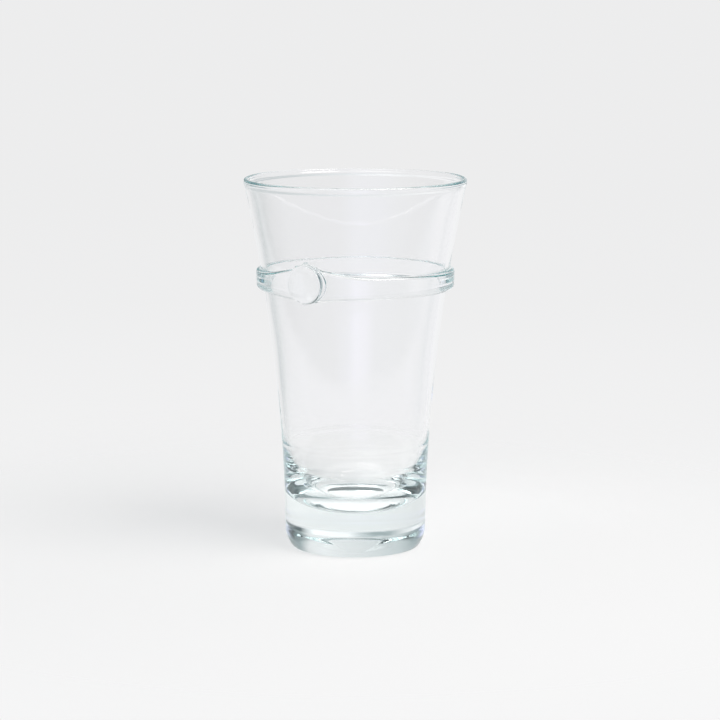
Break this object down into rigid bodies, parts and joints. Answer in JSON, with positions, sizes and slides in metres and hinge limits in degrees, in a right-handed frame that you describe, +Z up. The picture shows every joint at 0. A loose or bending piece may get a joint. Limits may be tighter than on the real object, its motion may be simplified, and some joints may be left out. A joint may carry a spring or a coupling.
{
  "type": "highball glass",
  "caption": "Clear highball glass flaring from a heavy solid base, with a glass band round its upper third and a round stamped seal pressed over the band.",
  "frame": {"origin": "centre of the ring the base stands on, on the glass's axis", "axes": "+Z up along the axis to the rim, -Y towards the front, with the seal to the left of the front"},
  "size_m": [0.0868, 0.0868, 0.145],
  "materials": {
    "clear_glass": "fire polished, faintly blue-green"
  },
  "bodies": {
    "root": {"tumbler": "clear_glass", "band": "clear_glass", "seal": "clear_glass"}
  },
  "joints": []
}
